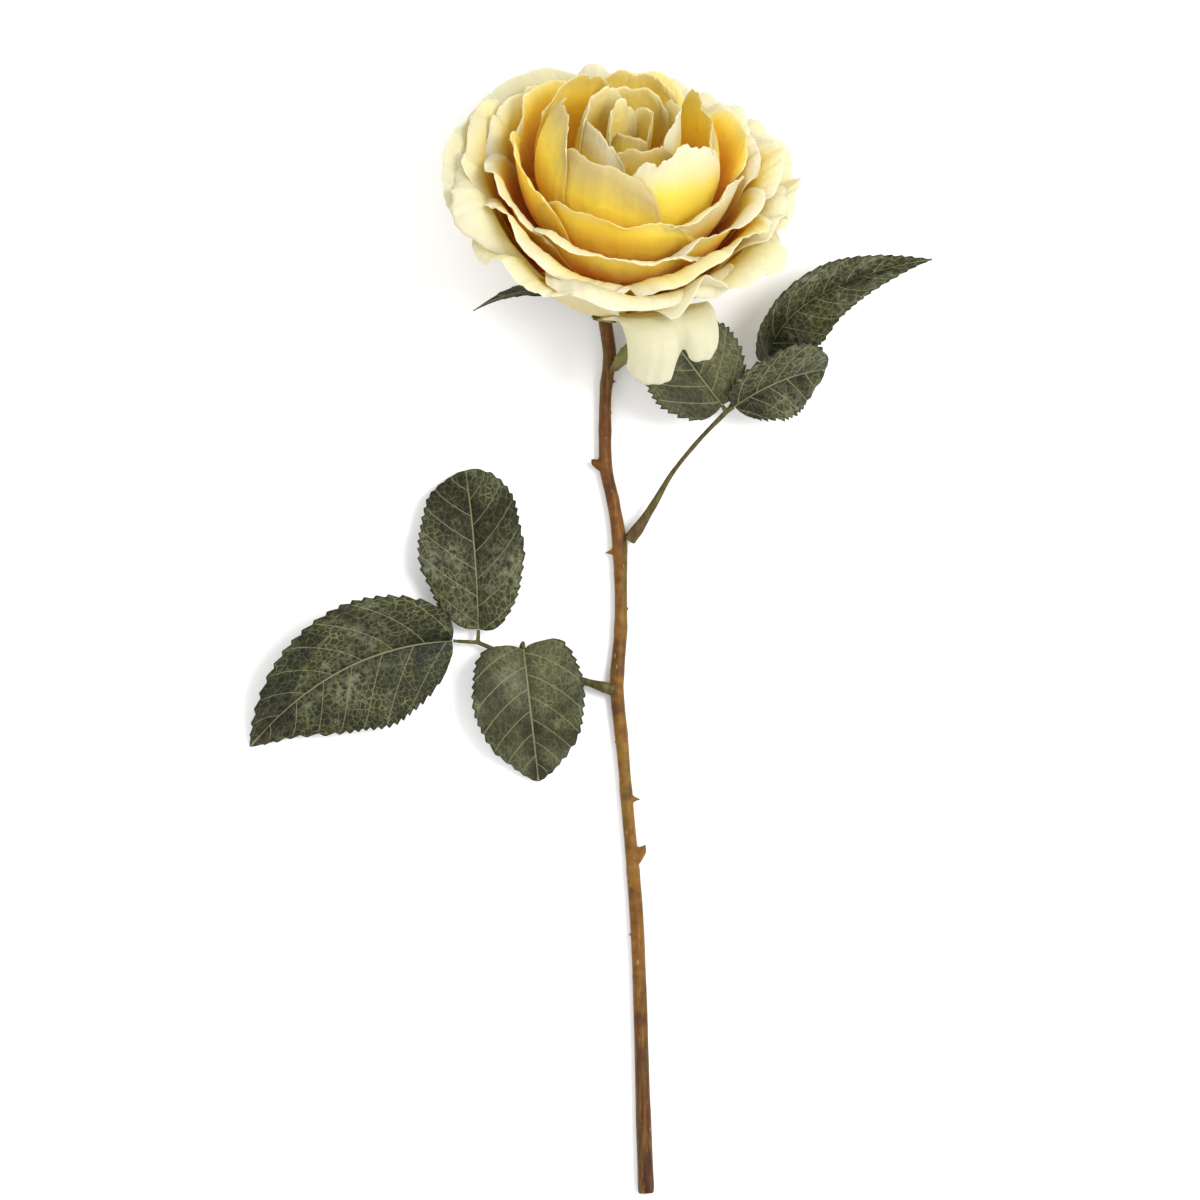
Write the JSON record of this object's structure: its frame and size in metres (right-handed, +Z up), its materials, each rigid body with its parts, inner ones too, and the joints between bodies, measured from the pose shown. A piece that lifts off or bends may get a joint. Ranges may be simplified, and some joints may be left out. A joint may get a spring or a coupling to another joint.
{
  "type": "cut rose",
  "caption": "Cut rose lying down: a wide open, many-petalled cream and yellow bloom on a prickly stem with two compound leaves.",
  "frame": {"origin": "bottom centre of the box round the rose as it lies, on the surface it rests on", "axes": "+Y along the stem from its cut end to the bloom, +X across it, to the side of the smaller leaf, +Z up"},
  "size_m": [0.221, 0.3628, 0.0849],
  "materials": {
    "petal_outer": "matt woven petal cloth, cream at the rim and dull yellow at the foot",
    "petal_middle": "matt woven petal cloth, pale yellow with a golden foot",
    "petal_inner": "matt woven petal cloth, deep golden yellow with an orange foot",
    "leaf": "waxed olive green leaf cloth with raised veins",
    "stem": "semi-matt red-brown bark with pale flecks and a fine seam",
    "stalk": "semi-matt olive brown",
    "calyx": "matt olive green",
    "stamens": "matt orange brown"
  },
  "bodies": {
    "root": {"petal_fallen_1": "petal_outer", "petal_guard_1": "petal_outer", "petal_guard_2": "petal_outer", "petal_guard_3": "petal_outer", "petal_guard_4": "petal_outer", "petal_guard_5": "petal_outer", "petal_outer_1": "petal_outer", "petal_outer_2": "petal_outer", "petal_outer_3": "petal_outer", "petal_outer_4": "petal_outer", "petal_outer_5": "petal_outer", "petal_middle_1": "petal_outer", "petal_middle_2": "petal_outer", "petal_middle_3": "petal_outer", "petal_middle_4": "petal_outer", "petal_middle_5": "petal_outer", "petal_inner_1": "petal_middle", "petal_inner_2": "petal_middle", "petal_inner_3": "petal_middle", "petal_inner_4": "petal_middle", "petal_inner_5": "petal_middle", "petal_inner_6": "petal_middle", "petal_cup_1": "petal_middle", "petal_cup_2": "petal_middle", "petal_cup_3": "petal_middle", "petal_cup_4": "petal_middle", "petal_cup_5": "petal_middle", "petal_cup_6": "petal_middle", "petal_crown_1": "petal_inner", "petal_crown_2": "petal_inner", "petal_crown_3": "petal_inner", "petal_crown_4": "petal_inner", "petal_crown_5": "petal_inner", "petal_crown_6": "petal_inner", "petal_heart_1": "petal_inner", "petal_heart_2": "petal_inner", "petal_heart_3": "petal_inner", "petal_heart_4": "petal_inner", "petal_heart_5": "petal_inner", "petal_bud_1": "petal_inner", "petal_bud_2": "petal_inner", "petal_bud_3": "petal_inner", "sepal_1": "calyx", "sepal_2": "calyx", "sepal_3": "calyx", "sepal_4": "calyx", "sepal_5": "calyx", "calyx": "calyx", "stamens": "stamens", "stem": "stem", "stalk_left": "stalk", "stalk_right": "stalk", "leaflet_left_end": "leaf", "leaflet_left_upper": "leaf", "leaflet_left_lower": "leaf", "leaflet_right_inner": "leaf", "leaflet_right_lower": "leaf", "leaflet_right_end": "leaf", "bract_left": "leaf", "bract_right": "calyx"}
  },
  "joints": []
}
